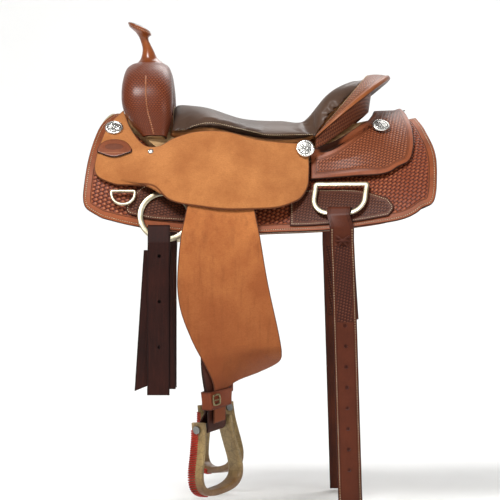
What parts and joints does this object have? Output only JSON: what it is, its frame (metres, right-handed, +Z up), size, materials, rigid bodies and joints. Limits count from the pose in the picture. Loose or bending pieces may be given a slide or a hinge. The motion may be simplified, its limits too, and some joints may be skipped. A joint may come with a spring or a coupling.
{
  "type": "western saddle",
  "caption": "Western riding saddle with horn, swell fork, padded seat, rolled cantle, skirts, fenders, stirrups and rigging straps.",
  "frame": {"origin": "on the centre plane at mid-length, on the underside of the channel that the horse's back or a rack carries", "axes": "+X towards the horse's tail, -Y to the near (left) side, +Z up"},
  "size_m": [0.7123, 0.5834, 1.0041],
  "materials": {
    "rough_out_leather": "rough-out, matt",
    "fender_leather": "rough-out, oiled darker low down",
    "seat_leather": "smooth, soft sheen",
    "swell_leather": "tooled, glossy",
    "chestnut_leather": "smooth, semi-gloss",
    "skirt_leather": "basket stamped",
    "stamped_leather": "basket stamped",
    "binding_leather": "tooled and rolled",
    "latigo_leather": "oiled, dark",
    "billet_leather": "harness leather, stitched",
    "hobble_leather": "smooth",
    "fleece": "cream wool pile",
    "tree_wood": "plain",
    "rawhide": "rawhide over wood",
    "silver": "engraved",
    "nickel": "nickel plated, worn",
    "steel": "plain",
    "brass": "dull"
  },
  "bodies": {
    "saddle": {"tree_fork": "tree_wood", "horn_core": "steel", "tree_cantle": "tree_wood", "ground_seat": "chestnut_leather", "swell_cover": "swell_leather", "gullet_lining": "chestnut_leather", "horn_wrap": "chestnut_leather", "horn_cap": "chestnut_leather", "seat_pad": "seat_leather", "cantle_binding": "binding_leather", "cantle_back": "binding_leather", "back_lacing": "latigo_leather", "fleece_near": "fleece", "skirt_near": "skirt_leather", "front_plate_near": "skirt_leather", "rear_plate_near": "skirt_leather", "tree_bar_near": "tree_wood", "seat_jockey_near": "rough_out_leather", "rear_jockey_near": "stamped_leather", "front_concho_near": "silver", "middle_concho_near": "silver", "rear_concho_near": "silver", "jockey_screw_near": "silver", "latigo_keeper_near": "chestnut_leather", "fleece_off": "fleece", "skirt_off": "skirt_leather", "front_plate_off": "skirt_leather", "rear_plate_off": "skirt_leather", "tree_bar_off": "tree_wood", "seat_jockey_off": "rough_out_leather", "rear_jockey_off": "stamped_leather", "front_concho_off": "silver", "middle_concho_off": "silver", "rear_concho_off": "silver", "jockey_screw_off": "silver", "latigo_keeper_off": "chestnut_leather"},
    "fender_near": {"fender_near": "fender_leather", "stirrup_leather_near": "chestnut_leather", "hobble_strap_near": "hobble_leather", "hobble_buckle_near": "brass"},
    "stirrup_near": {"stirrup_near": "rawhide", "stirrup_bolt_near": "steel"},
    "front_ring_near": {"front_ring_near": "nickel"},
    "rear_dee_near": {"rear_dee_near": "nickel"},
    "rear_billet_near": {"rear_billet_near": "billet_leather"},
    "breast_dee_near": {"breast_dee_near": "nickel"},
    "fender_off": {"fender_off": "fender_leather", "stirrup_leather_off": "chestnut_leather", "hobble_strap_off": "hobble_leather", "hobble_buckle_off": "brass"},
    "stirrup_off": {"stirrup_off": "rawhide", "stirrup_bolt_off": "steel"},
    "front_ring_off": {"front_ring_off": "nickel"},
    "rear_dee_off": {"rear_dee_off": "nickel"},
    "rear_billet_off": {"rear_billet_off": "billet_leather"},
    "breast_dee_off": {"breast_dee_off": "nickel"},
    "latigo": {"latigo": "latigo_leather"},
    "off_billet": {"off_billet": "latigo_leather"}
  },
  "joints": [
    {"name": "fender_swing_near", "type": "hinge", "parent": "saddle", "child": "fender_near", "pos_m": [-0.088, -0.13043, -0.02], "axis": [0, -0.7913, 0.6115], "range_deg": [-8, 9]},
    {"name": "stirrup_turn_near", "type": "hinge", "parent": "fender_near", "child": "stirrup_near", "pos_m": [-0.09504, -0.238, -0.556], "axis": [0.5821, 0.8011, 0.1392], "range_deg": [-40, 40]},
    {"name": "front_ring_spin_near", "type": "hinge", "parent": "saddle", "child": "front_ring_near", "pos_m": [-0.19, -0.21009, -0.139], "axis": [0.0491, -0.9295, 0.3655], "continuous": true},
    {"name": "latigo_swing", "type": "hinge", "parent": "saddle", "child": "latigo", "pos_m": [-0.19, -0.21009, -0.139], "axis": [0.0491, -0.9295, 0.3655], "range_deg": [-10, 3]},
    {"name": "rear_dee_lift_near", "type": "hinge", "parent": "saddle", "child": "rear_dee_near", "pos_m": [0.16394, -0.19532, -0.07112], "axis": [-0.9694, 0.2455, 0], "range_deg": [0, 40]},
    {"name": "rear_billet_lift_near", "type": "hinge", "parent": "rear_dee_near", "child": "rear_billet_near", "pos_m": [0.1543, -0.2334, -0.13262], "axis": [-0.9694, 0.2455, 0], "range_deg": [0, 14]},
    {"name": "breast_dee_lift_near", "type": "hinge", "parent": "saddle", "child": "breast_dee_near", "pos_m": [-0.27507, -0.19543, -0.08786], "axis": [-0.9999, -0.0115, 0], "range_deg": [0, 60]},
    {"name": "fender_swing_off", "type": "hinge", "parent": "saddle", "child": "fender_off", "pos_m": [-0.088, 0.13043, -0.02], "axis": [0, -0.7913, -0.6115], "range_deg": [-8, 9]},
    {"name": "stirrup_turn_off", "type": "hinge", "parent": "fender_off", "child": "stirrup_off", "pos_m": [-0.09504, 0.238, -0.556], "axis": [0.5821, -0.8011, 0.1392], "range_deg": [-40, 40]},
    {"name": "front_ring_spin_off", "type": "hinge", "parent": "saddle", "child": "front_ring_off", "pos_m": [-0.19, 0.21009, -0.139], "axis": [0.0491, 0.9295, 0.3655], "continuous": true},
    {"name": "off_billet_swing", "type": "hinge", "parent": "saddle", "child": "off_billet", "pos_m": [-0.19, 0.21009, -0.139], "axis": [0.0491, 0.9295, 0.3655], "range_deg": [-3, 10]},
    {"name": "rear_dee_lift_off", "type": "hinge", "parent": "saddle", "child": "rear_dee_off", "pos_m": [0.16394, 0.19532, -0.07112], "axis": [0.9694, 0.2455, 0], "range_deg": [0, 40]},
    {"name": "rear_billet_lift_off", "type": "hinge", "parent": "rear_dee_off", "child": "rear_billet_off", "pos_m": [0.1543, 0.2334, -0.13262], "axis": [0.9694, 0.2455, 0], "range_deg": [0, 14]},
    {"name": "breast_dee_lift_off", "type": "hinge", "parent": "saddle", "child": "breast_dee_off", "pos_m": [-0.27507, 0.19543, -0.08786], "axis": [0.9999, -0.0115, 0], "range_deg": [0, 60]}
  ]
}
